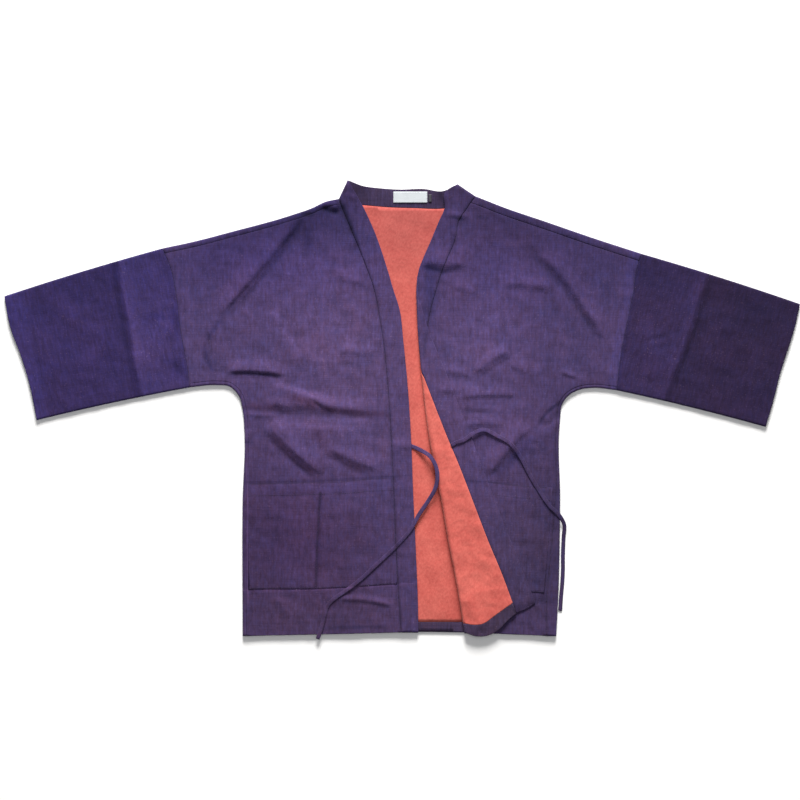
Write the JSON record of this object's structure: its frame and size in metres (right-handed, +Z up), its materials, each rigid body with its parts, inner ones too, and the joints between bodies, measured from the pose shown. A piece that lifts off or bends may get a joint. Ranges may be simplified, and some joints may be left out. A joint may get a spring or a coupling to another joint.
{
  "type": "noragi jacket",
  "caption": "Lined open-front cotton jacket with a collar band, wide sleeves, patch pockets and ties, laid out flat with one front turned back.",
  "frame": {"origin": "bottom centre of the jacket's box as it lies, on the surface under the back", "axes": "+X towards the wearer's left sleeve, +Y towards the neck, +Z up from the surface"},
  "size_m": [1.4302, 0.8259, 0.0168],
  "materials": {
    "outer_cloth": "slubby plain-woven cotton, purple with reddish and bluish yarns, matt",
    "lining": "soft brushed coral red cotton, matt with a short nap",
    "label_cloth": "white woven label, blank",
    "tab_cloth": "dark woven tab, blank"
  },
  "bodies": {
    "root": {"back": "outer_cloth", "back_lining": "lining", "back_hem": "outer_cloth", "front_right": "outer_cloth", "pocket_right": "outer_cloth", "front_left": "outer_cloth", "pocket_left": "outer_cloth", "front_left_lining": "lining", "front_left_hem": "outer_cloth", "sleeve_right": "outer_cloth", "sleeve_left": "outer_cloth", "collar_right": "outer_cloth", "collar_left": "outer_cloth", "collar_back": "outer_cloth", "label": "label_cloth", "size_tab": "tab_cloth", "tie_right": "outer_cloth", "tie_left": "outer_cloth"}
  },
  "joints": []
}
